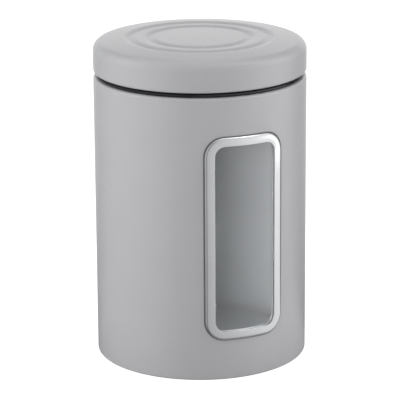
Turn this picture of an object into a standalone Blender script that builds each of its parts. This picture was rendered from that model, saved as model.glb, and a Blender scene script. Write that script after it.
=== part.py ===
"""Round storage canister of painted sheet steel, with a lift-off lid and a curved window.

Metres, +Z up. The origin is the centre of the base, on the surface that the canister stands on.
The window faces -Y. Every piece is round about Z or bent round it, so the lid lifts along Z.
"""

import math

import bmesh
import bpy

# The can
CAN_RADIUS = 0.0625
BODY_HEIGHT = 0.1682
SEAM_HEIGHT = 0.0028
LID_HEIGHT = 0.0194
SHEET = 0.0006
SEAT_GAP = 0.0003
FOLD_INSIDE = 0.0003

# The body's shoulder, mouth and foot
SHOULDER_ROUND = 0.0017
SHOULDER_LEDGE = 0.0012
MOUTH_LIP_DEPTH = 0.0050
FOOT_ROUND = 0.0012
FOOT_LEDGE = 0.0022

# The pressed base
BASE_FLANGE_HEIGHT = 0.0060
BASE_CHANNEL = 0.0012
BASE_RECESS = 0.0040
BASE_STEP_RADIUS = 0.0480
BASE_STEP = 0.0010

# The black ring in the mouth
RING_INSET = 0.0017
RING_HEIGHT = 0.0018
RING_ROUND = 0.0007
RING_WALL = 0.0016
RING_DEPTH = 0.0075
RING_BARB = 0.0008
RING_LEAD = 0.0006

# The window, measured along the wall's outer skin
WINDOW_HEIGHT_ABOVE_BASE = 0.0850
FRAME_WIDTH = 0.0492
FRAME_HEIGHT = 0.1207
FRAME_CORNER = 0.0115
FRAME_SIDE_BAND = 0.00605
FRAME_END_BAND = 0.0051
SIGHT_CORNER = 0.0062
FLANGE_THICKNESS = 0.0009
FLANGE_OVERLAP = 0.0026
EDGE_ROLL = 0.0018
LIP_THICKNESS = 0.0010
LIP_ROUND = 0.0003
NECK_WALL = 0.0010
NECK_REACH = 0.0010
FRAME_BARB = 0.0006
PANE_THICKNESS = 0.0015
GASKET_THICKNESS = 0.0004
GASKET_SHOW = 0.0004
GASKET_GAP = 0.0002
RETAINER_FLANGE = 0.0024
RETAINER_WALL = 0.0012

# The lid
CROWN_DOME = 0.0022
DOME_POWER = 4.0
CROWN_RIM_WIDTH = 0.0085
CROWN_RIM_DROP = 0.0070
RIM_POWER = 2.6
GROOVE_RADII = (0.0294, 0.0407)
GROOVE_HALF_WIDTH = 0.0042
GROOVE_DEPTH = 0.0007
CURL_ROUND = 0.0015
CURL_LEDGE = 0.0010

# The lid's plug and its seal
INSERT_WALL = 0.0018
INSERT_SKIRT = 0.0060
PLUG_CLEARANCE = 0.0012
PLUG_DEPTH = 0.0095
SEAL_HEIGHT = 0.0030
SEAL_SEAT = 0.0008
SEAL_DROP = 0.0035

# Facets
TURN_STEPS = 52
FOLD_STEPS = 2
ROUND_STEPS = 3
CROWN_STEPS = 5
CORNER_STEPS = 6
SPAN_STEPS = 9
WELD = 0.00001
CUTTER_REACH = 0.0100
SHARP_ANGLE = 32

# Places that pieces share
WALL_INSIDE = CAN_RADIUS - SHEET
FOLD_ROUND = FOLD_INSIDE + SHEET
MOUTH_RADIUS = CAN_RADIUS - SHOULDER_ROUND - SHOULDER_LEDGE - FOLD_ROUND
RING_TOP = BODY_HEIGHT + SEAT_GAP + RING_HEIGHT
RING_SKIRT = MOUTH_RADIUS - SEAT_GAP
RING_BORE = RING_SKIRT - RING_WALL
LID_EDGE = BODY_HEIGHT + SEAM_HEIGHT
LID_TOP = LID_EDGE + LID_HEIGHT
PLUG_RADIUS = RING_BORE - PLUG_CLEARANCE
GROOVE_FLOOR = PLUG_RADIUS - SEAL_SEAT
SEAL_TOP = RING_TOP - SEAL_DROP
RIM_RADIUS = CAN_RADIUS - CROWN_RIM_WIDTH

# Depths through the window, out from the wall's outer skin
FLANGE_UNDER = GASKET_GAP + GASKET_THICKNESS + GASKET_GAP
FRAME_FACE = FLANGE_UNDER + FLANGE_THICKNESS
LIP_UNDER = FRAME_FACE - LIP_THICKNESS
PANE_FRONT = LIP_UNDER - SEAT_GAP
PANE_BACK = PANE_FRONT - PANE_THICKNESS
WALL_BACK = -SHEET
BARB_TOP = WALL_BACK - SEAT_GAP
NECK_END = WALL_BACK - NECK_REACH
RETAINER_BACK = NECK_END - SEAT_GAP - RETAINER_WALL


def arc(centre, radius, start, end, steps):
    """Points of an arc in the profile plane, angles in degrees."""
    points = []
    for step in range(steps + 1):
        angle = math.radians(start + (end - start) * step / steps)
        points.append((centre[0] + radius * math.cos(angle), centre[1] + radius * math.sin(angle)))
    return points


def material(name, colour, roughness, metallic=0.0, transmission=0.0):
    """A Principled finish."""
    finish = bpy.data.materials.new(name)
    finish.use_nodes = True
    shader = finish.node_tree.nodes["Principled BSDF"]
    shader.inputs["Base Color"].default_value = (*colour, 1.0)
    shader.inputs["Roughness"].default_value = roughness
    shader.inputs["Metallic"].default_value = metallic
    shader.inputs["Transmission Weight"].default_value = transmission
    return finish


def add_object(name, mesh, collection, finish=None):
    """An object at the origin, in its collection, with its finish."""
    piece = bpy.data.objects.new(name, mesh)
    collection.objects.link(piece)
    if finish:
        mesh.materials.append(finish)
    return piece


def profile_mesh(name, points, closed):
    """A line of points in the XZ plane, which a Screw modifier turns."""
    mesh = bpy.data.meshes.new(name)
    edges = [(i, i + 1) for i in range(len(points) - 1)]
    if closed:
        edges.append((len(points) - 1, 0))
    mesh.from_pydata([(x, 0.0, z) for x, z in points], edges, [])
    return mesh


def turn(piece):
    """Turn a profile once round Z."""
    screw = piece.modifiers.new("turn", "SCREW")
    screw.axis = "Z"
    screw.steps = TURN_STEPS
    screw.render_steps = TURN_STEPS
    screw.use_merge_vertices = True
    screw.merge_threshold = WELD
    return screw


def turned_sheet(name, points, collection, finish):
    """Sheet metal: a skin line that runs down the outside, turned, and thickened inwards."""
    piece = add_object(name, profile_mesh(name, points, False), collection, finish)
    turn(piece)
    wall = piece.modifiers.new("sheet", "SOLIDIFY")
    wall.thickness = SHEET
    wall.offset = -1.0
    wall.use_even_offset = True
    return piece


def turned_solid(name, points, collection, finish):
    """A closed section turned round Z."""
    piece = add_object(name, profile_mesh(name, points, True), collection, finish)
    turn(piece)
    return piece


def rounded_outline(width, height, corner):
    """A rounded rectangle on the unrolled wall, anticlockwise from the right side."""
    flat = width / 2 - corner
    side = height / 2 - corner
    points = []
    for quarter, (across, up) in enumerate(((1, 1), (-1, 1), (-1, -1), (1, -1))):
        for step in range(CORNER_STEPS + 1):
            angle = (quarter + step / CORNER_STEPS) * math.pi / 2
            points.append((across * flat + corner * math.cos(angle), up * side + corner * math.sin(angle)))
        if quarter in (0, 2):
            for step in range(1, SPAN_STEPS):
                points.append((across * flat * (1 - 2 * step / SPAN_STEPS), up * height / 2))
    return points


def inset(outline, amount):
    """The same rounded rectangle drawn in by an amount, as width, height and corner."""
    width, height, corner = outline
    return (width - 2 * amount, height - 2 * amount, corner - amount)


FRAME_OUTLINE = (FRAME_WIDTH, FRAME_HEIGHT, FRAME_CORNER)
SIGHT_OUTLINE = (FRAME_WIDTH - 2 * FRAME_SIDE_BAND, FRAME_HEIGHT - 2 * FRAME_END_BAND, SIGHT_CORNER)
CUT_OUTLINE = inset(FRAME_OUTLINE, FLANGE_OVERLAP)
NECK_OUTLINE = inset(CUT_OUTLINE, SEAT_GAP)
REBATE_OUTLINE = inset(NECK_OUTLINE, NECK_WALL)
PANE_OUTLINE = inset(REBATE_OUTLINE, SEAT_GAP)
BARB_OUTLINE = inset(NECK_OUTLINE, -FRAME_BARB)
RETAINER_CHANNEL = inset(BARB_OUTLINE, -SEAT_GAP)
RETAINER_OUTLINE = inset(RETAINER_CHANNEL, -RETAINER_FLANGE)


def bent(across, up, depth):
    """A point of the unrolled window, bent round the wall at a depth from its outer skin."""
    angle = across / CAN_RADIUS
    radius = CAN_RADIUS + depth
    return (radius * math.sin(angle), -radius * math.cos(angle), WINDOW_HEIGHT_ABOVE_BASE + up)


def lofted_rings(name, sections, collection, finish=None, filled=False):
    """Bent outlines joined in order: back to the first for a frame, or capped for a block."""
    mesh = bpy.data.meshes.new(name)
    shape = bmesh.new()
    rings = []
    for outline, depth in sections:
        points = rounded_outline(*outline)
        rings.append([shape.verts.new(bent(across, up, depth)) for across, up in points])
    joints = len(rings) - 1 if filled else len(rings)
    for i in range(joints):
        near, far = rings[i], rings[(i + 1) % len(rings)]
        for j in range(len(near)):
            k = (j + 1) % len(near)
            shape.faces.new((near[j], near[k], far[k], far[j]))
    if filled:
        shape.faces.new(rings[0])
        shape.faces.new(rings[-1])
    bmesh.ops.recalc_face_normals(shape, faces=shape.faces)
    shape.to_mesh(mesh)
    shape.free()
    return add_object(name, mesh, collection, finish)


def bent_cutter(name, outline, collection):
    """A block through the wall with a bent outline, used only to cut."""
    sections = [(outline, -CUTTER_REACH), (outline, CUTTER_REACH)]
    cutter = lofted_rings(name, sections, collection, filled=True)
    cutter.hide_render = True
    cutter.display_type = "WIRE"
    return cutter


def boolean(piece, cutter, operation):
    """Cut a piece with another, or keep what they share."""
    cut = piece.modifiers.new(operation.lower(), "BOOLEAN")
    cut.operation = operation
    cut.solver = "EXACT"
    cut.object = cutter


def body_shell(parts, cutters, finish):
    """The painted wall: lip in the mouth, ledge, shoulder, wall, foot and foot ring."""
    shoulder = CAN_RADIUS - SHOULDER_ROUND
    ledge = shoulder - SHOULDER_LEDGE
    foot = CAN_RADIUS - FOOT_ROUND
    skin = [(MOUTH_RADIUS, BODY_HEIGHT - MOUTH_LIP_DEPTH)]
    skin += arc((ledge, BODY_HEIGHT - FOLD_ROUND), FOLD_ROUND, 180, 90, FOLD_STEPS)
    skin += arc((shoulder, BODY_HEIGHT - SHOULDER_ROUND), SHOULDER_ROUND, 90, 0, ROUND_STEPS)
    skin += arc((foot, FOOT_ROUND), FOOT_ROUND, 0, -90, FOLD_STEPS)
    skin.append((foot - FOOT_LEDGE, 0.0))
    piece = turned_sheet("body_shell", skin, parts, finish)
    boolean(piece, bent_cutter("window_cut", CUT_OUTLINE, cutters), "DIFFERENCE")
    return piece


def base_plate(parts, finish):
    """The pressed bottom: flange up the wall, channel over the foot ring, stepped panel."""
    rim = WALL_INSIDE - SEAT_GAP
    seat = SHEET + SEAT_GAP
    channel_outside = rim - FOLD_ROUND
    channel_inside = channel_outside - BASE_CHANNEL
    riser = channel_inside - FOLD_ROUND
    skin = [(rim, BASE_FLANGE_HEIGHT)]
    skin += arc((channel_outside, seat + FOLD_ROUND), FOLD_ROUND, 0, -90, FOLD_STEPS)
    skin += arc((channel_inside, seat + FOLD_ROUND), FOLD_ROUND, -90, -180, FOLD_STEPS)
    skin.append((riser, BASE_RECESS))
    skin.append((BASE_STEP_RADIUS, BASE_RECESS))
    skin.append((BASE_STEP_RADIUS - 2 * BASE_STEP, BASE_RECESS + BASE_STEP))
    skin.append((0.0, BASE_RECESS + BASE_STEP))
    return turned_sheet("base_plate", skin, parts, finish)


def mouth_ring(parts, finish):
    """The black collar: round bead on the shoulder, skirt in the mouth, barb under the lip."""
    outside = CAN_RADIUS - RING_INSET - RING_ROUND
    under = BODY_HEIGHT + SEAT_GAP
    barb_top = BODY_HEIGHT - MOUTH_LIP_DEPTH - SEAT_GAP
    section = arc((outside, RING_TOP - RING_ROUND), RING_ROUND, 90, 0, ROUND_STEPS)
    section += arc((outside, under + RING_ROUND), RING_ROUND, 0, -90, ROUND_STEPS)
    section.append((RING_SKIRT, under))
    section.append((RING_SKIRT, barb_top))
    section.append((RING_SKIRT + RING_BARB, barb_top))
    section.append((RING_SKIRT, BODY_HEIGHT - RING_DEPTH))
    section.append((RING_BORE, BODY_HEIGHT - RING_DEPTH))
    section.append((RING_BORE, RING_TOP - RING_LEAD))
    section.append((RING_BORE + RING_LEAD, RING_TOP))
    return turned_solid("mouth_ring", section, parts, finish)


def window_frame(parts, finish):
    """The bright bezel: rolled outer edge, flat face, lip round the pane, neck and barb."""
    rolled = []
    for step in range(ROUND_STEPS + 1):
        angle = math.pi / 2 * step / ROUND_STEPS
        drawn_in = EDGE_ROLL * (1 - math.cos(angle))
        rolled.append((inset(FRAME_OUTLINE, drawn_in), FLANGE_UNDER + FLANGE_THICKNESS * math.sin(angle)))
    sections = rolled + [
        (inset(SIGHT_OUTLINE, -LIP_ROUND), FRAME_FACE),
        (SIGHT_OUTLINE, FRAME_FACE - LIP_ROUND),
        (SIGHT_OUTLINE, LIP_UNDER),
        (REBATE_OUTLINE, LIP_UNDER),
        (REBATE_OUTLINE, NECK_END),
        (NECK_OUTLINE, NECK_END),
        (BARB_OUTLINE, BARB_TOP - SEAT_GAP),
        (BARB_OUTLINE, BARB_TOP),
        (NECK_OUTLINE, BARB_TOP),
        (NECK_OUTLINE, FLANGE_UNDER),
    ]
    return lofted_rings("window_frame", sections, parts, finish)


def window_gasket(parts, finish):
    """The thin seal under the bezel's flange, which shows as a dark line all round."""
    outside = inset(FRAME_OUTLINE, -GASKET_SHOW)
    sections = [
        (outside, GASKET_GAP),
        (outside, GASKET_GAP + GASKET_THICKNESS),
        (CUT_OUTLINE, GASKET_GAP + GASKET_THICKNESS),
        (CUT_OUTLINE, GASKET_GAP),
    ]
    return lofted_rings("window_gasket", sections, parts, finish)


def window_pane(parts, cutters, finish):
    """The clear curved sheet: a stretch of tube kept inside the pane's outline."""
    inside = CAN_RADIUS + PANE_BACK
    outside = CAN_RADIUS + PANE_FRONT
    low = WINDOW_HEIGHT_ABOVE_BASE - FRAME_HEIGHT / 2
    high = WINDOW_HEIGHT_ABOVE_BASE + FRAME_HEIGHT / 2
    section = [(outside, high), (outside, low), (inside, low), (inside, high)]
    piece = turned_solid("window_pane", section, parts, finish)
    boolean(piece, bent_cutter("pane_outline", PANE_OUTLINE, cutters), "INTERSECT")
    return piece


def window_retainer(parts, finish):
    """The inner frame: seat behind the pane, channel round the neck, flange on the wall."""
    seat = PANE_BACK - SEAT_GAP
    channel = NECK_END - SEAT_GAP
    flange = WALL_BACK - SEAT_GAP
    sections = [
        (RETAINER_OUTLINE, flange),
        (RETAINER_CHANNEL, flange),
        (RETAINER_CHANNEL, channel),
        (PANE_OUTLINE, channel),
        (PANE_OUTLINE, seat),
        (SIGHT_OUTLINE, seat),
        (SIGHT_OUTLINE, RETAINER_BACK),
        (RETAINER_OUTLINE, RETAINER_BACK),
    ]
    return lofted_rings("window_retainer", sections, parts, finish)


def crown_height(radius):
    """Height of the crown without its grooves: a low dome with a soft rim down to the side."""
    dome = CROWN_DOME * (radius / CAN_RADIUS) ** DOME_POWER
    out = max(0.0, radius - RIM_RADIUS) / CROWN_RIM_WIDTH
    left = max(0.0, 1 - out ** RIM_POWER) ** (1 / RIM_POWER)
    return LID_TOP - dome - CROWN_RIM_DROP * (1 - left)


def groove_profile(centre):
    """A soft round groove of the crown, from its inner to its outer edge."""
    points = []
    for share, depth in ((-1, 0.0), (-1 / 3, GROOVE_DEPTH), (1 / 3, GROOVE_DEPTH), (1, 0.0)):
        radius = centre + share * GROOVE_HALF_WIDTH
        points.append((radius, crown_height(radius) - depth))
    return points


def lid_shell(parts, finish):
    """The painted cap: grooved dome, soft rim, side and rolled lower edge."""
    skin = [(0.0, LID_TOP)]
    for centre in GROOVE_RADII:
        skin += groove_profile(centre)
    for step in range(CROWN_STEPS + 1):
        share = math.sin(math.pi / 2 * step / CROWN_STEPS) ** (2 / RIM_POWER)
        radius = RIM_RADIUS + CROWN_RIM_WIDTH * share
        skin.append((radius, crown_height(radius)))
    skin += arc((CAN_RADIUS - CURL_ROUND, LID_EDGE + CURL_ROUND), CURL_ROUND, 0, -90, FOLD_STEPS)
    skin.append((CAN_RADIUS - CURL_ROUND - CURL_LEDGE, LID_EDGE))
    return turned_sheet("lid_shell", skin, parts, finish)


def lid_insert(parts, finish):
    """The black plug: skirt in the cap, flange over the curl, collar, plug and seal groove."""
    skirt = WALL_INSIDE - SEAT_GAP
    flange = LID_EDGE + SHEET + SEAT_GAP
    flange_top = flange + INSERT_WALL
    collar = CAN_RADIUS - CURL_ROUND - CURL_LEDGE - SEAT_GAP
    plug_bottom = RING_TOP - PLUG_DEPTH
    section = [
        (skirt, flange_top + INSERT_SKIRT),
        (skirt, LID_EDGE + CURL_ROUND),
        (CAN_RADIUS - CURL_ROUND, flange),
        (collar, flange),
        (collar, RING_TOP + SEAT_GAP),
        (PLUG_RADIUS, RING_TOP + SEAT_GAP),
        (PLUG_RADIUS, SEAL_TOP + SEAT_GAP),
        (GROOVE_FLOOR, SEAL_TOP + SEAT_GAP),
        (GROOVE_FLOOR, SEAL_TOP - SEAL_HEIGHT - SEAT_GAP),
        (PLUG_RADIUS, SEAL_TOP - SEAL_HEIGHT - SEAT_GAP),
        (PLUG_RADIUS, plug_bottom),
        (0.0, plug_bottom),
        (0.0, plug_bottom + INSERT_WALL),
        (PLUG_RADIUS - INSERT_WALL, plug_bottom + INSERT_WALL),
        (PLUG_RADIUS - INSERT_WALL, flange_top),
        (skirt - INSERT_WALL, flange_top),
        (skirt - INSERT_WALL, flange_top + INSERT_SKIRT),
    ]
    return turned_solid("lid_insert", section, parts, finish)


def lid_seal(parts, finish):
    """The soft ring: a band in the plug's groove, with a lip that meets the ring's bore."""
    inside = GROOVE_FLOOR + SEAT_GAP
    lip = RING_BORE - SEAT_GAP
    bottom = SEAL_TOP - SEAL_HEIGHT
    section = [
        (PLUG_RADIUS, SEAL_TOP),
        (lip, SEAL_TOP),
        (lip, SEAL_TOP - SEAL_HEIGHT / 4),
        (PLUG_RADIUS, bottom),
        (inside, bottom),
        (inside, SEAL_TOP),
    ]
    return turned_solid("lid_seal", section, parts, finish)


def bake(piece):
    """Turn the modifiers into a mesh, shaded smooth with its sharp edges kept."""
    graph = bpy.context.evaluated_depsgraph_get()
    mesh = bpy.data.meshes.new_from_object(piece.evaluated_get(graph))
    piece.modifiers.clear()
    piece.data = mesh
    mesh.shade_smooth()
    mesh.set_sharp_from_angle(angle=math.radians(SHARP_ANGLE))


def main():
    for leftover in list(bpy.data.objects):
        bpy.data.objects.remove(leftover, do_unlink=True)
    parts = bpy.data.collections.new("storage_canister")
    cutters = bpy.data.collections.new("cutters")
    bpy.context.scene.collection.children.link(parts)
    bpy.context.scene.collection.children.link(cutters)

    body = [
        body_shell(parts, cutters, material("grey_paint_body", (0.50, 0.50, 0.51), 0.38)),
        base_plate(parts, material("bare_steel_base", (0.58, 0.58, 0.57), 0.32, metallic=1.0)),
        mouth_ring(parts, material("black_plastic_ring", (0.012, 0.012, 0.013), 0.15)),
        window_frame(parts, material("bright_bezel", (0.86, 0.87, 0.88), 0.08, metallic=1.0)),
        window_gasket(parts, material("dark_seal", (0.02, 0.02, 0.02), 0.6)),
        window_pane(parts, cutters, material("clear_acrylic", (0.95, 0.97, 0.97), 0.02, transmission=1.0)),
        window_retainer(parts, material("grey_plastic_retainer", (0.35, 0.36, 0.36), 0.4)),
    ]
    lid = [
        lid_shell(parts, material("grey_paint_lid", (0.50, 0.50, 0.51), 0.38)),
        lid_insert(parts, material("black_plastic_plug", (0.012, 0.012, 0.013), 0.3)),
        lid_seal(parts, material("dark_silicone", (0.03, 0.03, 0.03), 0.5)),
    ]
    for piece in body + lid:
        bake(piece)

    lift = bpy.data.objects.new("lid_lift", None)
    parts.objects.link(lift)
    for piece in lid:
        piece.parent = lift


main()
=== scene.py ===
"""Looks of the storage canister: painted steel, bright window bezel, black plastic and clear acrylic.

The file is laid out as an add-on and run as a script. Each operator models one piece round the
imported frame, and the stage operator sets the floor, the lights and the camera.
"""

import math

import bmesh
import bpy
from mathutils import Matrix, Vector


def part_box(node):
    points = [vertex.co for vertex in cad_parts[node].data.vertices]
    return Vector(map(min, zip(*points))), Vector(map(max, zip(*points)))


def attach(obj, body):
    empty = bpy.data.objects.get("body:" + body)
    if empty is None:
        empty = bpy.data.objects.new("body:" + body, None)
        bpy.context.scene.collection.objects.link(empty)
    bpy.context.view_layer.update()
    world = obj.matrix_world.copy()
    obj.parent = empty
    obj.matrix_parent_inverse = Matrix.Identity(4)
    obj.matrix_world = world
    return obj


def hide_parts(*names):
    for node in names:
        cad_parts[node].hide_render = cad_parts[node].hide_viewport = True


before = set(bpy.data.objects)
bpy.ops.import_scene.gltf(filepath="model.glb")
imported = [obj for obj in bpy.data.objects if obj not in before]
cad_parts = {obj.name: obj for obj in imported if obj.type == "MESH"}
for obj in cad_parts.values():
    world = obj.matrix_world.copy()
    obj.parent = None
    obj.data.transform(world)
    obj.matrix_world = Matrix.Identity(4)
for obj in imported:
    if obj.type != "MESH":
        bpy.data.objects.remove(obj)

bl_info = {
    "name": "Storage canister",
    "version": (1, 0, 0),
    "blender": (4, 5, 0),
    "location": "View3D > Sidebar > Canister",
    "description": "Models a painted steel storage canister with a window and a lift-off lid",
    "category": "Object",
}

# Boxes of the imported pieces, which the defaults come from
WALL_LOW, WALL_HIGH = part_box("body_shell")
RING_LOW, RING_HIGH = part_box("mouth_ring")
BEZEL_LOW, BEZEL_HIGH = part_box("window_frame")
CAP_LOW, CAP_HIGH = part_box("lid_shell")
PLUG_LOW, PLUG_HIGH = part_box("lid_insert")
SEAL_LOW, SEAL_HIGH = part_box("lid_seal")
BASE_LOW, BASE_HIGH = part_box("base_plate")

# White that the camera sees on the floor besides its own shading
FLOOR_WHITE = 0.78

# The studio as mirrors and glass see it: even walls, and what is lighter or darker than the walls,
# by name, bearing from the camera, level and sharpness
WALLS_LEVEL = 0.42
STUDIO_PARTS = (
    ("right card", 80.0, 0.45, 4.0),
    ("gap round the camera", -14.0, -0.25, 200.0),
    ("end of the right card", 118.0, -0.62, 60.0),
    ("gap behind the right card", 142.0, -0.45, 60.0),
    ("gap behind the left card", -135.0, -0.32, 20.0),
)

# The pale backdrop behind the can, which ends a little above the floor's edge
BACKDROP = ("backdrop", 180.0, 0.78, 12.0)
BACKDROP_TOP = (0.25, 0.55)

# The ceiling is lighter than the walls, from this height of a ray's direction on
CEILING = 0.50
CEILING_FROM = (0.70, 0.85)

# The floor in mirrors, by distance from the can's axis and share of the level: a painted shadow makes
# it dark right beside the can, painted shade a little darker close to it than further out; it meets the right
# card's foot
FLOOR_PAINTED_SHADOW = (0.062, 0.30)
FLOOR_PAINTED_SHADOW_END = (0.110, 1.00)
FLOOR_PAINTED_SHADE_NEAR = (0.05, 0.84)
FLOOR_PAINTED_SHADE_FAR = (0.45, 1.04)
CARD_FOOT = ("foot of the right card", 83.0, 0.36, 40.0)
CARD_FOOT_NEAR = 0.485
CARD_FOOT_FAR = 0.525

# Softboxes by name, bearing from the camera, distance, height, size and power, and whether the
# object's gloss shows them: most would only draw white streaks in the bezel's roll
SOFTBOXES = (
    ("left_softbox", -87.0, 1.2, 0.55, (0.85, 0.9), 13.8, False),
    ("right_softbox", 92.0, 1.2, 0.55, (1.0, 0.9), 14.6, False),
    ("window_softbox", -10.0, 1.3, 0.36, (0.4, 0.4), 7.8, False),
    ("top_softbox", 180.0, 0.6, 1.15, (0.8, 0.8), 4.6, False),
    ("upper_front_softbox", -4.0, 0.8, 1.25, (0.45, 0.5), 2.6, False),
    ("upper_right_softbox", 66.0, 0.8, 1.25, (0.45, 0.5), 1.2, True),
)

# The floor's width, the window cutter's reach as a share of the radius, and the widths of the
# upright strips that the cutter and the pane are bent in
FLOOR_SIZE = 16.0
CUT_REACH = 0.15
CUT_STRIP = 0.002
PANE_STRIP = 0.001

# How squarely a face has to look inwards or up to get the coat inside the can
FACING = 0.5

# Steps of a full turn, an arc, an outline's corner and its level edges, and the tolerances
TURN_STEPS = 192
ARC_STEPS = 8
CORNER_STEPS = 10
SPAN_STEPS = 18
MERGE = 0.000002
APART = 0.01
SMOOTH_ANGLE = math.radians(32)


def length(name, description, default):
    """A size in metres."""
    return bpy.props.FloatProperty(
        name=name, description=description, default=default, min=0.0, precision=5,
        subtype="DISTANCE", unit="LENGTH",
    )


def colour(name, description, default):
    """A linear colour."""
    return bpy.props.FloatVectorProperty(
        name=name, description=description, default=default, size=3, min=0.0, max=1.0, subtype="COLOR",
    )


def amount(name, description, default, high):
    """A plain number."""
    return bpy.props.FloatProperty(name=name, description=description, default=default, min=0.0, max=high)


class CanisterBody(bpy.types.PropertyGroup):
    """Sizes of the wall and the base"""
    radius: length("Radius", "Outside radius of the painted wall", WALL_HIGH.x)
    height: length("Height", "Foot to the top of the shoulder", WALL_HIGH.z)
    sheet: length("Sheet", "Thickness of the steel sheet", 0.0006)
    gap: length("Gap", "Clearance between pieces that touch", 0.0003)
    fold: length("Fold", "Outside radius of the tight folds", 0.0009)
    shoulder: length("Shoulder", "Radius of the rolled shoulder", 0.0017)
    ledge: length("Ledge", "Flat ledge inside the shoulder", 0.0012)
    lip: length("Lip", "Depth of the turned-down mouth edge", 0.0050)
    foot: length("Foot", "Radius of the turned-under foot", 0.0012)
    foot_ledge: length("Foot ledge", "Width of the foot ring", 0.0022)
    channel: length("Channel", "Width of the base's channel", 0.0012)
    recess: length("Recess", "Height of the base's panel above the foot", 0.0040)
    step_radius: length("Step radius", "Radius of the step in the base", 0.0480)
    step: length("Step", "Height of the step in the base", 0.0010)


class CanisterRing(bpy.types.PropertyGroup):
    """Sizes of the black ring in the mouth"""
    radius: length("Radius", "Outermost radius of the bead", RING_HIGH.x)
    round: length("Round", "Rounding of the bead's edges", 0.0007)
    wall: length("Wall", "Thickness of the skirt", 0.0016)
    barb: length("Barb", "Reach of the barb under the mouth's lip", 0.0008)
    lead: length("Lead", "Lead-in of the bore", 0.0006)


class CanisterWindow(bpy.types.PropertyGroup):
    """Sizes of the bezel, seal, pane and retainer"""
    middle: length("Middle", "Height of the window's middle", (BEZEL_LOW.z + BEZEL_HIGH.z) / 2)
    width: length("Width", "Bezel's width along the wall", 0.0492)
    height: length("Height", "Bezel's height", BEZEL_HIGH.z - BEZEL_LOW.z)
    corner: length("Corner", "Outer corner radius", 0.0115)
    side_band: length("Side band", "Width of the bezel's sides", 0.00605)
    end_band: length("End band", "Width of the bezel's top and bottom", 0.0051)
    sight_corner: length("Sight corner", "Corner radius of the clear opening", 0.0062)
    under: length("Under", "Gap under the bezel's flange", 0.0008)
    thickness: length("Thickness", "Thickness of the bezel's flange", WALL_LOW.y - BEZEL_LOW.y - 0.0008)
    overlap: length("Overlap", "Reach of the flange over the wall", 0.0026)
    roll: length("Roll", "Width of the bezel's rolled outer edge", 0.0018)
    # Real seal, and painted shade of the gap at the bezel's edge, shown as more dark seal at the bezel's
    # sides
    slim: length("Slim", "How much more of the seal shows at the bezel's sides", 0.00035)
    lip: length("Lip", "Thickness of the lip over the pane", 0.0010)
    lip_round: length("Lip round", "Rounding of the bezel's inner edge", 0.00015)
    neck: length("Neck", "Thickness of the neck", 0.0010)
    reach: length("Reach", "Reach of the neck behind the wall", 0.0010)
    barb: length("Barb", "Reach of the neck's barb", 0.0006)
    pane: length("Pane", "Thickness of the pane", 0.0015)
    seal: length("Seal", "Thickness of the seal", 0.0004)
    seal_gap: length("Seal gap", "Clearance on each side of the seal", 0.0002)
    seal_show: length("Seal show", "Width of the seal that shows round the bezel", 0.0004)
    clamp: length("Clamp", "Width of the retainer's flange", 0.0024)
    clamp_wall: length("Clamp wall", "Thickness of the retainer's back", 0.0012)
    hold: length("Hold", "Reach of the retainer over the pane", 0.0008)


class CanisterLid(bpy.types.PropertyGroup):
    """Sizes of the cap, its grooves and the plug"""
    edge: length("Edge", "Height of the lid's lower edge", CAP_LOW.z)
    top: length("Top", "Height of the crown", CAP_HIGH.z)
    flat: length("Flat", "Radius of the crown's flat middle", 0.0440)
    dome: length("Dome", "Fall of the crown from its flat middle to the edge", 0.0020)
    dome_power: amount("Dome power", "How late the crown falls", 1.2, 8.0)
    rim: length("Rim", "Width of the crown's soft rim", 0.0055)
    drop: length("Rim drop", "Height of the soft rim", 0.0050)
    power: amount("Rim power", "How square the rim is", 2.2, 8.0)
    groove_a: length("Inner groove", "Radius of the inner groove", 0.0294)
    groove_b: length("Outer groove", "Radius of the outer groove", 0.0407)
    groove_half: length("Groove half width", "Half the width of a groove", 0.0042)
    groove_depth: length("Groove depth", "Depth of a groove", 0.0009)
    curl: length("Curl", "Radius of the rolled lower edge", 0.0015)
    curl_ledge: length("Curl ledge", "Flat inside the rolled edge", 0.0010)
    insert_wall: length("Insert wall", "Thickness of the plug's walls", 0.0018)
    plug: length("Plug", "Radius of the plug", 0.0556)
    seat: length("Seal seat", "Depth of the seal's groove", 0.0008)


class CanisterColours(bpy.types.PropertyGroup):
    """Linear colours of the finishes"""
    paint: colour("Paint", "Satin grey paint", (0.400, 0.400, 0.412))
    steel: colour("Steel", "Bare pressed steel", (0.55, 0.55, 0.54))
    bezel: colour("Bezel", "Bright plated bezel", (0.86, 0.87, 0.88))
    black: colour("Black", "Black plastic", (0.010, 0.010, 0.011))
    rubber: colour("Rubber", "Dark seal", (0.105, 0.105, 0.108))
    grey: colour("Grey", "Grey plastic", (0.52, 0.53, 0.53))
    inside: colour("Inside", "Pale lacquer inside the can", (0.71, 0.73, 0.74))
    pane: colour("Pane", "Tint of the acrylic", (0.97, 0.97, 0.975))
    floor: colour("Floor", "Pale floor", (0.55, 0.55, 0.55))


class CanisterStage(bpy.types.PropertyGroup):
    """Where the camera stands and how it looks"""
    turn: bpy.props.FloatProperty(
        name="Turn", description="Camera's bearing from the window", default=math.radians(-24.35),
        subtype="ANGLE", unit="ROTATION",
    )
    pitch: bpy.props.FloatProperty(
        name="Pitch", description="How far the camera looks down", default=0.2840,
        subtype="ANGLE", unit="ROTATION",
    )
    roll: bpy.props.FloatProperty(
        name="Roll", description="Tilt of the camera about its view", default=-0.0063,
        subtype="ANGLE", unit="ROTATION",
    )
    pan: bpy.props.FloatProperty(
        name="Pan", description="How far the camera looks to the left of the can's axis", default=0.0003,
        subtype="ANGLE", unit="ROTATION",
    )
    distance: length("Distance", "Camera to the can's axis, level", 1.3132)
    height: length("Height", "Camera above the floor", 0.4743)
    lens: amount("Lens", "Focal length in millimetres on a 36 mm frame", 206.66, 1000.0)


# Finishes

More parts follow.
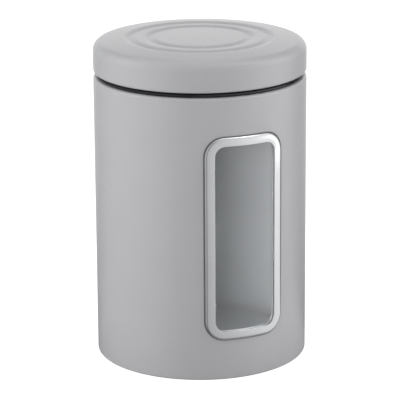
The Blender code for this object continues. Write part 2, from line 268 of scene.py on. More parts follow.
def new_finish(name):
    """A material with its node tree and Principled shader."""
    finish = bpy.data.materials.new(name)
    finish.use_nodes = True
    return finish, finish.node_tree, finish.node_tree.nodes["Principled BSDF"]


def speckle(tree, scale, detail=2.0, stretch=(1.0, 1.0, 1.0)):
    """Noise on the piece's own coordinates."""
    place = tree.nodes.new("ShaderNodeTexCoord")
    mapping = tree.nodes.new("ShaderNodeMapping")
    mapping.inputs["Scale"].default_value = stretch
    noise = tree.nodes.new("ShaderNodeTexNoise")
    noise.inputs["Scale"].default_value = scale
    noise.inputs["Detail"].default_value = detail
    tree.links.new(place.outputs["Object"], mapping.inputs["Vector"])
    tree.links.new(mapping.outputs["Vector"], noise.inputs["Vector"])
    return noise.outputs["Fac"]


def ranged(tree, source, start, end, low, high):
    """A value that goes from low to high as its source goes from start to end."""
    step = tree.nodes.new("ShaderNodeMapRange")
    step.inputs["From Min"].default_value = start
    step.inputs["From Max"].default_value = end
    step.inputs["To Min"].default_value = low
    step.inputs["To Max"].default_value = high
    tree.links.new(source, step.inputs["Value"])
    return step.outputs["Result"]


def spread(tree, source, low, high):
    """A noise value spread between two numbers."""
    return ranged(tree, source, 0.3, 0.7, low, high)


def blend_colours(tree, source, low, high):
    """A noise value turned into a colour between two."""
    mix = tree.nodes.new("ShaderNodeMix")
    mix.data_type = "RGBA"
    mix.inputs["A"].default_value = (*low, 1.0)
    mix.inputs["B"].default_value = (*high, 1.0)
    tree.links.new(source, mix.inputs["Factor"])
    return mix.outputs["Result"]


def shade_of(base, share):
    """A colour made lighter or darker by a share."""
    return tuple(min(1.0, part * (1.0 + share)) for part in base)


def relief(tree, shader, source, distance):
    """Fine bumps in a surface."""
    bump = tree.nodes.new("ShaderNodeBump")
    bump.inputs["Distance"].default_value = distance
    bump.inputs["Strength"].default_value = 0.5
    tree.links.new(source, bump.inputs["Height"])
    tree.links.new(bump.outputs["Normal"], shader.inputs["Normal"])


def grainy(name, base, vary, rough, rough_vary, scale, bump, stretch=(1.0, 1.0, 1.0), metallic=0.0):
    """A surface whose colour and roughness vary a little, over fine bumps."""
    finish, tree, shader = new_finish(name)
    shader.inputs["Metallic"].default_value = metallic
    cloudy = speckle(tree, 60.0, 3.0)
    fine = speckle(tree, scale, 2.0, stretch)
    tone = blend_colours(tree, spread(tree, cloudy, 0.0, 1.0), shade_of(base, -vary), shade_of(base, vary))
    tree.links.new(tone, shader.inputs["Base Color"])
    tree.links.new(spread(tree, fine, rough - rough_vary, rough + rough_vary), shader.inputs["Roughness"])
    relief(tree, shader, fine, bump)
    return finish


def satin_grey_paint(colours):
    """Powder coat with a faint orange peel."""
    return grainy(
        "satin_grey_paint", colours.paint, vary=0.012, rough=0.30, rough_vary=0.03, scale=1500.0,
        bump=0.000012,
    )


def pale_lacquer(colours):
    """Thin pale coat inside the can."""
    return grainy(
        "pale_lacquer", colours.inside, vary=0.012, rough=0.50, rough_vary=0.03, scale=1200.0,
        bump=0.000006,
    )


def pressed_steel(colours):
    """Dull rolled sheet, with its grain along one way."""
    return grainy(
        "pressed_steel", colours.steel, vary=0.03, rough=0.34, rough_vary=0.06, scale=400.0,
        bump=0.000004, stretch=(1.0, 14.0, 14.0), metallic=1.0,
    )


def gloss_black_plastic(colours):
    """Polished moulded plastic."""
    return grainy(
        "gloss_black_plastic", colours.black, vary=0.10, rough=0.14, rough_vary=0.02, scale=900.0,
        bump=0.000002,
    )


def satin_black_plastic(colours):
    """Moulded plastic with a fine spark-eroded texture."""
    return grainy(
        "satin_black_plastic", colours.black, vary=0.15, rough=0.36, rough_vary=0.05, scale=2600.0,
        bump=0.000010,
    )


def dark_rubber(colours):
    """Soft seal."""
    return grainy(
        "dark_rubber", colours.rubber, vary=0.12, rough=0.55, rough_vary=0.05, scale=1800.0,
        bump=0.000008,
    )


def satin_grey_plastic(colours):
    """Moulded grey plastic."""
    return grainy(
        "satin_grey_plastic", colours.grey, vary=0.03, rough=0.42, rough_vary=0.04, scale=1800.0,
        bump=0.000006,
    )


def bright_plating(colours):
    """Mirror-like plating with faint wiping marks."""
    return grainy(
        "bright_plating", colours.bezel, vary=0.01, rough=0.09, rough_vary=0.02, scale=500.0,
        bump=0.0000006, stretch=(1.0, 1.0, 6.0), metallic=1.0,
    )


def clear_acrylic(colours):
    """Clear sheet with a trace of haze, which lets the lamps light what lies behind it."""
    finish, tree, shader = new_finish("clear_acrylic")
    haze = speckle(tree, 120.0, 3.0)
    tone = blend_colours(tree, spread(tree, haze, 0.0, 1.0), shade_of(colours.pane, -0.01), colours.pane)
    tree.links.new(tone, shader.inputs["Base Color"])
    tree.links.new(spread(tree, haze, 0.10, 0.13), shader.inputs["Roughness"])
    shader.inputs["IOR"].default_value = 1.49
    shader.inputs["Transmission Weight"].default_value = 1.0
    path = tree.nodes.new("ShaderNodeLightPath")
    open_way = tree.nodes.new("ShaderNodeBsdfTransparent")
    open_way.inputs["Color"].default_value = (*colours.pane, 1.0)
    mix = tree.nodes.new("ShaderNodeMixShader")
    tree.links.new(path.outputs["Is Shadow Ray"], mix.inputs["Fac"])
    tree.links.new(shader.outputs["BSDF"], mix.inputs[1])
    tree.links.new(open_way.outputs["BSDF"], mix.inputs[2])
    tree.links.new(mix.outputs["Shader"], tree.nodes["Material Output"].inputs["Surface"])
    return finish


def summed(tree, operation, first, second):
    """One step of arithmetic on two values, or on a value and a number."""
    step = tree.nodes.new("ShaderNodeMath")
    step.operation = operation
    tree.links.new(first, step.inputs[0])
    if isinstance(second, float):
        step.inputs[1].default_value = second
    else:
        tree.links.new(second, step.inputs[1])
    return step.outputs["Value"]


def vector_step(tree, operation, source, second=(0.0, 0.0, 0.0)):
    """One step of arithmetic on a direction."""
    step = tree.nodes.new("ShaderNodeVectorMath")
    step.operation = operation
    tree.links.new(source, step.inputs[0])
    step.inputs[1].default_value = second
    return step.outputs["Value" if operation in {"DOT_PRODUCT", "LENGTH"} else "Vector"]


def studio_part(tree, way, turn, part):
    """What one part of the studio adds, full towards its bearing and less to the sides."""
    bearing, level, sharpness = part[1:]
    angle = turn + math.radians(bearing)
    towards = vector_step(tree, "DOT_PRODUCT", way, (math.sin(angle), -math.cos(angle), 0.0))
    share = summed(tree, "ADD", summed(tree, "MULTIPLY", towards, 0.5), 0.5)
    return summed(tree, "MULTIPLY", summed(tree, "POWER", share, sharpness), level)


def studio_level(tree, coordinates, turn):
    """Brightness of the studio in mirrors, by bearing, with the backdrop low behind the can."""
    place = tree.nodes.new("ShaderNodeTexCoord").outputs[coordinates]
    way = vector_step(tree, "NORMALIZE", vector_step(tree, "MULTIPLY", place, (1.0, 1.0, 0.0)))
    height = vector_step(tree, "DOT_PRODUCT", place, (0.0, 0.0, 1.0))
    low = ranged(tree, height, *BACKDROP_TOP, 1.0, 0.0)
    level = summed(tree, "MULTIPLY", studio_part(tree, way, turn, BACKDROP), low)
    for part in STUDIO_PARTS:
        level = summed(tree, "ADD", level, studio_part(tree, way, turn, part))
    level = summed(tree, "ADD", level, ranged(tree, height, *CEILING_FROM, 0.0, CEILING))
    return summed(tree, "ADD", level, WALLS_LEVEL)


def mirrored_ray(tree, path):
    """One for rays that reach this surface by a mirror or through glass."""
    return summed(tree, "MAXIMUM", path.outputs["Is Glossy Ray"], path.outputs["Is Transmission Ray"])


def pale_floor(colours, turn):
    """Matt floor, white to the camera apart from the object's shadow, and the studio in mirrors."""
    finish, tree, shader = new_finish("pale_floor")
    faint = speckle(tree, 3.0)
    tone = blend_colours(tree, spread(tree, faint, 0.0, 1.0), shade_of(colours.floor, -0.004), colours.floor)
    tree.links.new(tone, shader.inputs["Base Color"])
    shader.inputs["Roughness"].default_value = 0.9
    shader.inputs["Specular IOR Level"].default_value = 0.1
    path = tree.nodes.new("ShaderNodeLightPath")
    shader.inputs["Emission Color"].default_value = (1.0, 1.0, 1.0, 1.0)
    glow = summed(tree, "MULTIPLY", path.outputs["Is Camera Ray"], FLOOR_WHITE)
    tree.links.new(glow, shader.inputs["Emission Strength"])
    studio = tree.nodes.new("ShaderNodeEmission")
    place = tree.nodes.new("ShaderNodeTexCoord").outputs["Object"]
    away = vector_step(tree, "LENGTH", place)
    way = vector_step(tree, "NORMALIZE", place)
    # Painted shadow of the can right beside it, and painted shade close to it, on the floor as mirrors see it
    painted_shadow = ranged(tree, away, FLOOR_PAINTED_SHADOW[0], FLOOR_PAINTED_SHADOW_END[0], FLOOR_PAINTED_SHADOW[1], FLOOR_PAINTED_SHADOW_END[1])
    share = ranged(tree, away, FLOOR_PAINTED_SHADE_NEAR[0], FLOOR_PAINTED_SHADE_FAR[0], FLOOR_PAINTED_SHADE_NEAR[1], FLOOR_PAINTED_SHADE_FAR[1])
    share = summed(tree, "MULTIPLY", share, painted_shadow)
    level = summed(tree, "MULTIPLY", studio_level(tree, "Object", turn), share)
    reached = ranged(tree, away, CARD_FOOT_NEAR, CARD_FOOT_FAR, 0.0, 1.0)
    foot = summed(tree, "MULTIPLY", studio_part(tree, way, turn, CARD_FOOT), reached)
    level = summed(tree, "ADD", level, foot)
    tree.links.new(level, studio.inputs["Strength"])
    mix = tree.nodes.new("ShaderNodeMixShader")
    tree.links.new(mirrored_ray(tree, path), mix.inputs["Fac"])
    tree.links.new(shader.outputs["BSDF"], mix.inputs[1])
    tree.links.new(studio.outputs["Emission"], mix.inputs[2])
    tree.links.new(mix.outputs["Shader"], tree.nodes["Material Output"].inputs["Surface"])
    return finish


# Modelling

def apply_modifier(piece, kind, **settings):
    """Add a modifier, set it and apply it."""
    modifier = piece.modifiers.new(kind.lower(), kind)
    for key, value in settings.items():
        setattr(modifier, key, value)
    bpy.context.view_layer.objects.active = piece
    bpy.ops.object.modifier_apply(modifier=modifier.name)


def arc(centre_radius, centre_height, bend, start, end, steps=ARC_STEPS):
    """Profile points, radius and height, of an arc whose angles are in degrees."""
    points = []
    for step in range(steps + 1):
        angle = math.radians(start + (end - start) * step / steps)
        points.append((centre_radius + bend * math.cos(angle), centre_height + bend * math.sin(angle)))
    return points


def turned(name, profile, closed=False):
    """A circle drawn on along a profile, ring by ring: a skin, or back to its start for a solid."""
    bpy.ops.object.select_all(action="DESELECT")
    radius, height = profile[0]
    bpy.ops.mesh.primitive_circle_add(vertices=TURN_STEPS, radius=radius, location=(0, 0, height))
    piece = bpy.context.object
    piece.name = name
    piece.data.name = name
    bpy.ops.object.transform_apply(location=True, rotation=True, scale=True)
    bpy.ops.object.mode_set(mode="EDIT")
    bpy.ops.mesh.select_mode(type="EDGE")
    bpy.ops.mesh.select_all(action="SELECT")
    for next_radius, next_height in profile[1:] + ([profile[0]] if closed else []):
        rise = next_height - height
        bpy.ops.mesh.extrude_region_move(TRANSFORM_OT_translate={"value": (0, 0, rise)})
        if next_radius < MERGE:
            bpy.ops.mesh.merge(type="CENTER")
        elif next_radius != radius:
            ratio = next_radius / radius
            bpy.ops.transform.resize(value=(ratio, ratio, 1), center_override=(0, 0, next_height))
        radius, height = next_radius, next_height
    bpy.ops.mesh.select_all(action="SELECT")
    bpy.ops.mesh.remove_doubles(threshold=MERGE)
    bpy.ops.mesh.normals_make_consistent(inside=False)
    bpy.ops.object.mode_set(mode="OBJECT")
    return piece


def thicken(piece, thickness):
    """Give a sheet its wall, inwards from its skin."""
    apply_modifier(piece, "SOLIDIFY", thickness=thickness, offset=-1.0, use_even_offset=True)


def inset(outline, distance):
    """A rounded rectangle drawn in by a distance, as width, height and corner."""
    width, height, corner = outline
    return (width - 2 * distance, height - 2 * distance, corner - distance)


def add_outline(outline, depth):
    """In edit mode: a rounded rectangle facing forwards, its level edges split so that it can bend."""
    width, height, corner = outline
    bpy.ops.mesh.select_all(action="DESELECT")
    bpy.ops.mesh.primitive_plane_add(size=1, location=(0, -depth, 0), rotation=(math.pi / 2, 0, 0))
    bpy.ops.transform.resize(value=(width, 1, height), center_override=(0, -depth, 0))
    bpy.ops.mesh.bevel(offset=corner, segments=CORNER_STEPS, affect="VERTICES", clamp_overlap=False)
    bpy.ops.mesh.delete(type="ONLY_FACE")
    shape = bmesh.from_edit_mesh(bpy.context.object.data)
    for edge in shape.edges:
        near = min(abs(vert.co.y + depth) for vert in edge.verts) < MERGE
        level = min(abs(vert.co.z) for vert in edge.verts) > height / 2 - MERGE
        edge.select = near and level
    bmesh.update_edit_mesh(bpy.context.object.data)
    bpy.ops.mesh.subdivide(number_cuts=SPAN_STEPS - 1)


def joined_outlines(name, sections, closed=True):
    """Outlines bridged one to the next: back to the first for a frame, or capped for a plate.

    They are bridged well apart, because a bridge between two outlines in one plane can turn over,
    and then pushed to their depths.
    """
    bpy.ops.object.select_all(action="DESELECT")
    mesh = bpy.data.meshes.new(name)
    piece = bpy.data.objects.new(name, mesh)
    bpy.context.collection.objects.link(piece)
    bpy.context.view_layer.objects.active = piece
    piece.select_set(True)
    bpy.ops.object.mode_set(mode="EDIT")
    bpy.ops.mesh.select_mode(type="EDGE")
    loop = 4 * (CORNER_STEPS + 1) + 2 * (SPAN_STEPS - 1)
    for place, section in enumerate(sections):
        add_outline(section[0], place * APART)
    count = len(sections)
    pairs = [(i, i + 1) for i in range(count - 1)]
    if closed:
        pairs.append((count - 1, 0))
    for near, far in pairs:
        select_loops(mesh, loop, (near, far))
        bpy.ops.mesh.bridge_edge_loops()
    if not closed:
        for end in (0, count - 1):
            select_loops(mesh, loop, (end,))
            bpy.ops.mesh.edge_face_add()
    for place, section in enumerate(sections):
        select_loops(mesh, loop, (place,))
        bpy.ops.transform.translate(value=(0, place * APART - section[1], 0))
    bpy.ops.mesh.select_all(action="SELECT")
    bpy.ops.mesh.normals_make_consistent(inside=False)
    bpy.ops.object.mode_set(mode="OBJECT")
    return piece


def select_loops(mesh, loop, chosen):
    """In edit mode: select whole outlines by their place in the order they were added."""
    shape = bmesh.from_edit_mesh(mesh)
    shape.verts.ensure_lookup_table()
    for face in shape.faces:
        face.select = False
    for edge in shape.edges:
        ends = {vert.index // loop for vert in edge.verts}
        edge.select = len(ends) == 1 and ends.pop() in chosen and not edge.link_faces[2:]
    bmesh.update_edit_mesh(mesh)


def slice_plate(piece, spacing):
    """Cut a flat plate into upright strips, so that it bends smoothly."""
    bpy.context.view_layer.objects.active = piece
    bpy.ops.object.mode_set(mode="EDIT")
    half = piece.dimensions.x / 2
    count = round(2 * half / spacing)
    for i in range(1, count):
        bpy.ops.mesh.select_all(action="SELECT")
        place = -half + 2 * half * i / count
        bpy.ops.mesh.bisect(plane_co=(place, 0, 0), plane_no=(1, 0, 0))
    bpy.ops.object.mode_set(mode="OBJECT")


def bend_round(piece, sizes, window):
    """Bend a flat piece round the wall and put it at the window's height."""
    bpy.ops.object.select_all(action="DESELECT")
    piece.select_set(True)
    bpy.context.view_layer.update()
    angle = piece.dimensions.x / sizes.radius
    apply_modifier(piece, "SIMPLE_DEFORM", deform_method="BEND", deform_axis="Z", angle=angle)
    piece.location = (0, -sizes.radius, window.middle)
    bpy.ops.object.transform_apply(location=True, rotation=True, scale=True)


def finish_piece(piece, body, node, finish):
    """Shade a piece, give it its finish and tie it to the frame."""
    bpy.ops.object.select_all(action="DESELECT")
    piece.select_set(True)
    bpy.context.view_layer.objects.active = piece
    bpy.ops.object.shade_smooth_by_angle(angle=SMOOTH_ANGLE)
    piece.data.materials.append(finish)
    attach(piece, body)
    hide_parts(node)


def coat_inside(piece, finish):
    """Give the faces that look at the can's axis, or up from its base, a finish of their own."""
    piece.data.materials.append(finish)
    coat = len(piece.data.materials) - 1
    for face in piece.data.polygons:
        middle = face.center.xy
        if face.normal.z > FACING and middle.length < BASE_HIGH.x and face.center.z < BASE_HIGH.z:
            face.material_index = coat
        elif face.normal.xy.dot(middle) < -FACING * middle.length:
            face.material_index = coat


def shared(maker, context):
    """One copy of a finish that several pieces may use, under its maker's name."""
    return bpy.data.materials.get(maker.__name__) or maker(context.scene.canister_colours)


# Places that pieces share

def mouth_radius(sizes):
    return sizes.radius - sizes.shoulder - sizes.ledge - sizes.fold


def ring_bore(sizes, ring):
    return mouth_radius(sizes) - sizes.gap - ring.wall


def crown_height(sizes, lid, radius):
    """Height of the crown without its grooves: flat, then falling, with a soft rim down to the side."""
    fall = max(0.0, radius - lid.flat) / (sizes.radius - lid.flat)
    dome = lid.dome * fall ** lid.dome_power
    out = max(0.0, radius - sizes.radius + lid.rim) / lid.rim
    left = max(0.0, 1 - out ** lid.power) ** (1 / lid.power)
    return lid.top - dome - lid.drop * (1 - left)


def bezel_outlines(sizes, window):
    """The rounded rectangles of the window's pieces, by name."""
    outer = (window.width, window.height, window.corner)
    sight = (window.width - 2 * window.side_band, window.height - 2 * window.end_band, window.sight_corner)
    cut = inset(outer, window.overlap)
    neck = inset(cut, sizes.gap)
    rebate = inset(neck, window.neck)
    barb = inset(neck, -window.barb)
    channel = inset(barb, -sizes.gap)
    return {
        "outer": outer, "sight": sight, "cut": cut, "neck": neck, "rebate": rebate, "barb": barb,
        "pane": inset(rebate, sizes.gap), "channel": channel, "clamp": inset(channel, -window.clamp),
    }


def bezel_depths(sizes, window):
    """Depths out from the wall's skin, by name."""
    face = window.under + window.thickness
    lip = face - window.lip
    front = lip - sizes.gap
    return {
        "face": face, "lip": lip, "front": front, "back": front - window.pane,
        "barb": -sizes.sheet - sizes.gap, "neck": -sizes.sheet - window.reach,
    }


# Operators, one for each piece

class CANISTER_OT_body_wall(bpy.types.Operator):
    """Model the painted wall with its shoulder, mouth, foot and window cut"""
    bl_idname = "canister.body_wall"
    bl_label = "Body wall"

    def execute(self, context):
        sizes = context.scene.canister_body
        window = context.scene.canister_window
        shoulder = sizes.radius - sizes.shoulder
        ledge = shoulder - sizes.ledge
        foot = sizes.radius - sizes.foot
        profile = [(mouth_radius(sizes), sizes.height - sizes.lip)]
        profile += arc(ledge, sizes.height - sizes.fold, sizes.fold, 180, 90)
        profile += arc(shoulder, sizes.height - sizes.shoulder, sizes.shoulder, 90, 0)
        profile += arc(foot, sizes.foot, sizes.foot, 0, -90)
        profile.append((foot - sizes.foot_ledge, 0.0))
        wall = turned("body_wall", profile)
        thicken(wall, sizes.sheet)
        outline = bezel_outlines(sizes, window)["cut"]
        reach = sizes.radius * CUT_REACH
        cutter = joined_outlines("window_cut", [(outline, -reach), (outline, reach)], closed=False)
        slice_plate(cutter, CUT_STRIP)
        bend_round(cutter, sizes, window)
        apply_modifier(wall, "BOOLEAN", operation="DIFFERENCE", object=cutter)
        bpy.data.objects.remove(cutter, do_unlink=True)
        finish = shared(satin_grey_paint, context)
        finish_piece(wall, "canister", "body_shell", finish)
        coat_inside(wall, shared(pale_lacquer, context))
        return {"FINISHED"}


class CANISTER_OT_base(bpy.types.Operator):
    """Model the pressed base"""
    bl_idname = "canister.base"
    bl_label = "Base"

    def execute(self, context):
        sizes = context.scene.canister_body
        rim = BASE_HIGH.x
        seat = BASE_LOW.z
        outside = rim - sizes.fold
        inside = outside - sizes.channel
        riser = inside - sizes.fold
        slope = 2 * sizes.step
        profile = [(rim, BASE_HIGH.z)]
        profile += arc(outside, seat + sizes.fold, sizes.fold, 0, -90)
        profile += arc(inside, seat + sizes.fold, sizes.fold, -90, -180)
        profile += arc(riser - sizes.fold, sizes.recess - sizes.fold, sizes.fold, 0, 90)
        profile.append((sizes.step_radius, sizes.recess))
        profile.append((sizes.step_radius - slope, sizes.recess + sizes.step))
        profile.append((0.0, sizes.recess + sizes.step))
        base = turned("pressed_base", profile)
        thicken(base, sizes.sheet)
        finish = shared(pressed_steel, context)
        finish_piece(base, "canister", "base_plate", finish)
        coat_inside(base, shared(pale_lacquer, context))
        return {"FINISHED"}


class CANISTER_OT_mouth_ring(bpy.types.Operator):
    """Model the black ring that shows in the seam"""
    bl_idname = "canister.mouth_ring"
    bl_label = "Mouth ring"

    def execute(self, context):
        sizes = context.scene.canister_body
        ring = context.scene.canister_ring
        outside = ring.radius - ring.round
        under = sizes.height + sizes.gap
        skirt = mouth_radius(sizes) - sizes.gap
        bore = ring_bore(sizes, ring)
        barb = sizes.height - sizes.lip - sizes.gap
        section = arc(outside, RING_HIGH.z - ring.round, ring.round, 90, 0)
        section += arc(outside, under + ring.round, ring.round, 0, -90)
        section += [
            (skirt, under),
            (skirt, barb),
            (skirt + ring.barb, barb),
            (skirt, RING_LOW.z),
            (bore, RING_LOW.z),
            (bore, RING_HIGH.z - ring.lead),
        ]
        section += arc(bore + ring.lead, RING_HIGH.z - ring.lead, ring.lead, 180, 90)[1:]
        piece = turned("collar", section, closed=True)
        finish = shared(gloss_black_plastic, context)
        finish_piece(piece, "canister", "mouth_ring", finish)
        return {"FINISHED"}


class CANISTER_OT_bezel(bpy.types.Operator):
    """Model the bright bezel round the window"""
    bl_idname = "canister.bezel"
    bl_label = "Bezel"

    def execute(self, context):
        sizes = context.scene.canister_body
        window = context.scene.canister_window
        shapes = bezel_outlines(sizes, window)
        depths = bezel_depths(sizes, window)
        sections = []
        width, height, corner = shapes["outer"]
        # Narrower sides let more dark seal show: partly real seal, partly painted shade of the gap at the
        # bezel's edge
        shown = (width - 2 * window.slim, height, corner)
        for step in range(ARC_STEPS + 1):
            angle = math.pi / 2 * step / ARC_STEPS
            drawn_in = window.roll * (1 - math.cos(angle))
            out = window.under + window.thickness * math.sin(angle)
            sections.append((inset(shown, drawn_in), out))
        for step in range(ARC_STEPS // 2 + 1):
            angle = math.pi / ARC_STEPS * step
            drawn_out = window.lip_round * (1 - math.sin(angle))
            down = window.lip_round * (1 - math.cos(angle))
            sections.append((inset(shapes["sight"], -drawn_out), depths["face"] - down))
        sections += [
            (shapes["sight"], depths["lip"]),
            (shapes["rebate"], depths["lip"]),
            (shapes["rebate"], depths["neck"]),
            (shapes["neck"], depths["neck"]),
            (shapes["barb"], depths["barb"] - sizes.gap),
            (shapes["barb"], depths["barb"]),
            (shapes["neck"], depths["barb"]),
            (shapes["neck"], window.under),
        ]
        piece = joined_outlines("bezel", sections)
        bend_round(piece, sizes, window)
        finish = shared(bright_plating, context)
        finish_piece(piece, "canister", "window_frame", finish)
        return {"FINISHED"}


class CANISTER_OT_window_seal(bpy.types.Operator):
    """Model the dark seal under the bezel"""
    bl_idname = "canister.window_seal"
    bl_label = "Window seal"

    def execute(self, context):
        sizes = context.scene.canister_body
        window = context.scene.canister_window
        shapes = bezel_outlines(sizes, window)
        edge = inset(shapes["outer"], -window.seal_show)
        low = window.seal_gap
        high = window.seal_gap + window.seal
        sections = [
            (edge, low), (inset(edge, -window.seal / 4), (low + high) / 2), (edge, high),
            (shapes["cut"], high), (shapes["cut"], low),
        ]
        piece = joined_outlines("window_seal", sections)
        bend_round(piece, sizes, window)
        finish = shared(dark_rubber, context)
        finish_piece(piece, "canister", "window_gasket", finish)
        return {"FINISHED"}


class CANISTER_OT_pane(bpy.types.Operator):
    """Model the clear pane"""
    bl_idname = "canister.pane"
    bl_label = "Pane"

    def execute(self, context):
        sizes = context.scene.canister_body
        window = context.scene.canister_window
        outline = bezel_outlines(sizes, window)["pane"]
        depths = bezel_depths(sizes, window)
        piece = joined_outlines("pane", [(outline, depths["back"]), (outline, depths["front"])], closed=False)
        slice_plate(piece, PANE_STRIP)
        bend_round(piece, sizes, window)
        finish = shared(clear_acrylic, context)
        finish_piece(piece, "canister", "window_pane", finish)
        return {"FINISHED"}


class CANISTER_OT_retainer(bpy.types.Operator):
    """Model the frame that clamps the pane from inside"""
    bl_idname = "canister.retainer"
    bl_label = "Retainer"

    def execute(self, context):
        sizes = context.scene.canister_body
        window = context.scene.canister_window
        shapes = bezel_outlines(sizes, window)
        depths = bezel_depths(sizes, window)
        seat = depths["back"] - sizes.gap
        channel = depths["neck"] - sizes.gap
        flange = depths["barb"]
        back = channel - window.clamp_wall
        opening = inset(shapes["pane"], window.hold)
        bevel = window.hold
        soft = window.lip_round
        sections = [
            (shapes["clamp"], flange),
            (shapes["channel"], flange),
            (shapes["channel"], channel),
            (shapes["pane"], channel),
            (shapes["pane"], seat),
            (opening, seat),
            (opening, back + bevel),
            (inset(opening, -bevel), back),
            (inset(shapes["clamp"], soft), back),
            (shapes["clamp"], back + soft),
        ]
        piece = joined_outlines("retainer", sections)
        bend_round(piece, sizes, window)
        finish = shared(satin_grey_plastic, context)
        finish_piece(piece, "canister", "window_retainer", finish)
        return {"FINISHED"}


class CANISTER_OT_lid_cap(bpy.types.Operator):
    """Model the painted cap with its grooves and soft rim"""
    bl_idname = "canister.lid_cap"
    bl_label = "Lid cap"

    def execute(self, context):
        sizes = context.scene.canister_body
        lid = context.scene.canister_lid
        curl_radius = sizes.radius - lid.curl
        profile = [(curl_radius - lid.curl_ledge, lid.edge)]
        profile += arc(curl_radius, lid.edge + lid.curl, lid.curl, -90, 0)
        edge = lid.groove_b + lid.groove_half
        rim = sizes.radius - lid.rim
        steps = 3 * ARC_STEPS
        for step in range(steps + 1):
            share = math.cos(math.pi / 2 * step / steps) ** (2 / lid.power)
            radius = rim + lid.rim * share
            profile.append((radius, crown_height(sizes, lid, radius)))
        for step in range(1, ARC_STEPS):
            radius = rim + (edge - rim) * step / ARC_STEPS
            profile.append((radius, crown_height(sizes, lid, radius)))
        for centre in (lid.groove_b, lid.groove_a):
            for step in range(2 * ARC_STEPS + 1):
                across = 1 - step / ARC_STEPS
                radius = centre + lid.groove_half * across
                sink = lid.groove_depth * (1 + math.cos(math.pi * across)) / 2
                profile.append((radius, crown_height(sizes, lid, radius) - sink))
        profile.append((0.0, lid.top))
        cap = turned("lid_cap", profile)
        thicken(cap, sizes.sheet)
        finish = shared(satin_grey_paint, context)
        finish_piece(cap, "lid", "lid_shell", finish)
        return {"FINISHED"}


class CANISTER_OT_plug(bpy.types.Operator):
    """Model the black plug inside the lid"""
    bl_idname = "canister.plug"
    bl_label = "Plug"

    def execute(self, context):
        sizes = context.scene.canister_body
        lid = context.scene.canister_lid
        wall = lid.insert_wall
        skirt = PLUG_HIGH.x
        flange = lid.edge + sizes.sheet + sizes.gap
        collar = sizes.radius - lid.curl - lid.curl_ledge - sizes.gap
        seat = RING_HIGH.z + sizes.gap
        groove = lid.plug - lid.seat
        groove_top = SEAL_HIGH.z + sizes.gap
        groove_bottom = SEAL_LOW.z - sizes.gap
        soft = sizes.fold
        section = [
            (skirt, PLUG_HIGH.z),
            (skirt, lid.edge + lid.curl),
            (sizes.radius - lid.curl, flange),
            (collar, flange),
            (collar, seat),
            (lid.plug, seat),
            (lid.plug, groove_top),
            (groove, groove_top),
            (groove, groove_bottom),
            (lid.plug, groove_bottom),
        ]
        section += arc(lid.plug - soft, PLUG_LOW.z + soft, soft, 0, -90)
        section.append((0.0, PLUG_LOW.z))
        outer = turned("plug", section)
        inner_profile = [
            (skirt, PLUG_HIGH.z),
            (skirt - wall, PLUG_HIGH.z),
            (skirt - wall, flange + wall),
            (lid.plug - wall, flange + wall),
            (lid.plug - wall, PLUG_LOW.z + wall),
            (0.0, PLUG_LOW.z + wall),
        ]
        inner = turned("plug_inside", inner_profile)
        bpy.ops.object.select_all(action="DESELECT")
        inner.select_set(True)
        outer.select_set(True)
        bpy.context.view_layer.objects.active = outer
        bpy.ops.object.join()
        bpy.ops.object.mode_set(mode="EDIT")
        bpy.ops.mesh.select_all(action="SELECT")
        bpy.ops.mesh.remove_doubles(threshold=MERGE)
        bpy.ops.mesh.normals_make_consistent(inside=False)
        bpy.ops.object.mode_set(mode="OBJECT")
        finish = shared(satin_black_plastic, context)
        finish_piece(outer, "lid", "lid_insert", finish)
        return {"FINISHED"}


class CANISTER_OT_lid_seal(bpy.types.Operator):
    """Model the soft ring in the plug's groove"""
    bl_idname = "canister.lid_seal"
    bl_label = "Lid seal"

    def execute(self, context):
        sizes = context.scene.canister_body
        ring = context.scene.canister_ring
        lid = context.scene.canister_lid
        inside = lid.plug - lid.seat + sizes.gap
        lip = ring_bore(sizes, ring) - sizes.gap
        tall = SEAL_HIGH.z - SEAL_LOW.z
        bead = tall / 8
        section = [(lid.plug, SEAL_HIGH.z)]
        section += arc(lip - bead, SEAL_HIGH.z - bead, bead, 90, 0)
        section += [
            (lip, SEAL_HIGH.z - tall / 4),
            (lid.plug, SEAL_LOW.z),
            (inside, SEAL_LOW.z),
            (inside, SEAL_HIGH.z),
        ]
        piece = turned("lid_ring", section, closed=True)
        finish = shared(dark_rubber, context)
        finish_piece(piece, "lid", "lid_seal", finish)
        return {"FINISHED"}


def softbox(name, size, power, shown, place, aim):
    """A rectangular area light that faces a point."""
    data = bpy.data.lights.new(name, "AREA")
    data.shape = "RECTANGLE"
    data.size, data.size_y = size
    data.energy = power
    lamp = bpy.data.objects.new(name, data)
    bpy.context.collection.objects.link(lamp)
    lamp.location = place
    way = Vector(aim) - lamp.location
    lamp.rotation_euler = way.to_track_quat("-Z", "Y").to_euler()
    lamp.visible_glossy = shown


def studio_world(scene, turn):
    """A world that is white to the camera and the studio in mirrors, and gives no light besides."""
    world = scene.world or bpy.data.worlds.new("studio")
    scene.world = world
    world.use_nodes = True
    tree = world.node_tree
    tree.nodes.clear()
    shown = tree.nodes.new("ShaderNodeBackground")
    shown.inputs["Color"].default_value = (1.0, 1.0, 1.0, 1.0)
    path = tree.nodes.new("ShaderNodeLightPath")
    level = summed(tree, "MULTIPLY", mirrored_ray(tree, path), studio_level(tree, "Generated", turn))
    tree.links.new(summed(tree, "MAXIMUM", level, path.outputs["Is Camera Ray"]), shown.inputs["Strength"])
    output = tree.nodes.new("ShaderNodeOutputWorld")
    tree.links.new(shown.outputs["Background"], output.inputs["Surface"])


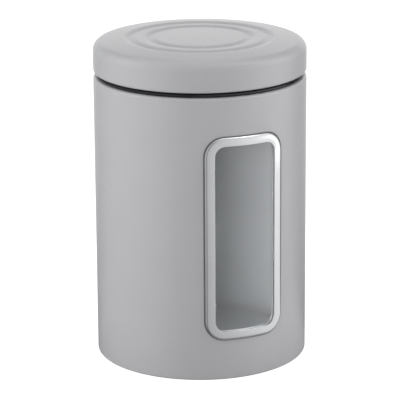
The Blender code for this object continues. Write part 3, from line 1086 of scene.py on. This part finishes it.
class CANISTER_OT_stage(bpy.types.Operator):
    """Set the floor, the soft lights and the camera"""
    bl_idname = "canister.stage"
    bl_label = "Stage"

    def execute(self, context):
        settings = context.scene.canister_stage
        self.floor(context, settings)
        self.lights(context, settings)
        self.camera(context, settings)
        return {"FINISHED"}

    def floor(self, context, settings):
        bpy.ops.object.select_all(action="DESELECT")
        bpy.ops.mesh.primitive_plane_add(size=FLOOR_SIZE, location=(0, 0, 0))
        floor = context.object
        floor.name = "floor"
        floor.data.materials.append(pale_floor(context.scene.canister_colours, settings.turn))

    def lights(self, context, settings):
        aim = (0.0, 0.0, context.scene.canister_lid.top / 2)
        for name, bearing, distance, height, size, power, shown in SOFTBOXES:
            angle = settings.turn + math.radians(bearing)
            place = (distance * math.sin(angle), -distance * math.cos(angle), height)
            softbox(name, size, power, shown, place, aim)
        studio_world(context.scene, settings.turn)
        context.scene.view_settings.view_transform = "Standard"

    def camera(self, context, settings):
        data = bpy.data.cameras.new("camera")
        data.lens = settings.lens
        data.sensor_width = 36.0
        data.clip_start = 0.01
        camera = bpy.data.objects.new("camera", data)
        context.collection.objects.link(camera)
        bearing = Matrix.Rotation(settings.turn, 4, "Z")
        stand = Matrix.Translation((0.0, -settings.distance, settings.height))
        pan = Matrix.Rotation(settings.pan, 4, "Z")
        tilt = Matrix.Rotation(math.pi / 2 - settings.pitch, 4, "X")
        roll = Matrix.Rotation(settings.roll, 4, "Z")
        camera.matrix_world = bearing @ stand @ pan @ tilt @ roll
        context.scene.camera = camera


class CANISTER_PT_sidebar(bpy.types.Panel):
    """Lists the pieces and their sizes"""
    bl_idname = "CANISTER_PT_sidebar"
    bl_label = "Storage canister"
    bl_space_type = "VIEW_3D"
    bl_region_type = "UI"
    bl_category = "Canister"

    def draw(self, context):
        for operator in OPERATORS:
            self.layout.operator(operator.bl_idname)
        for name, group in GROUPS:
            box = self.layout.box()
            box.label(text=name.replace("_", " ").capitalize())
            settings = getattr(context.scene, name)
            for key in group.__annotations__:
                box.prop(settings, key)


GROUPS = (
    ("canister_body", CanisterBody),
    ("canister_ring", CanisterRing),
    ("canister_window", CanisterWindow),
    ("canister_lid", CanisterLid),
    ("canister_colours", CanisterColours),
    ("canister_stage", CanisterStage),
)

OPERATORS = (
    CANISTER_OT_body_wall,
    CANISTER_OT_base,
    CANISTER_OT_mouth_ring,
    CANISTER_OT_bezel,
    CANISTER_OT_window_seal,
    CANISTER_OT_pane,
    CANISTER_OT_retainer,
    CANISTER_OT_lid_cap,
    CANISTER_OT_plug,
    CANISTER_OT_lid_seal,
    CANISTER_OT_stage,
)


def register():
    for name, group in GROUPS:
        bpy.utils.register_class(group)
        setattr(bpy.types.Scene, name, bpy.props.PointerProperty(type=group))
    for operator in OPERATORS:
        bpy.utils.register_class(operator)
    bpy.utils.register_class(CANISTER_PT_sidebar)


def unregister():
    bpy.utils.unregister_class(CANISTER_PT_sidebar)
    for operator in reversed(OPERATORS):
        bpy.utils.unregister_class(operator)
    for name, group in reversed(GROUPS):
        delattr(bpy.types.Scene, name)
        bpy.utils.unregister_class(group)


def main():
    """Register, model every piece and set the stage."""
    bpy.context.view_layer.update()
    register()
    for operator in OPERATORS:
        group, name = operator.bl_idname.split(".")
        getattr(getattr(bpy.ops, group), name)()


if __name__ == "__main__":
    main()
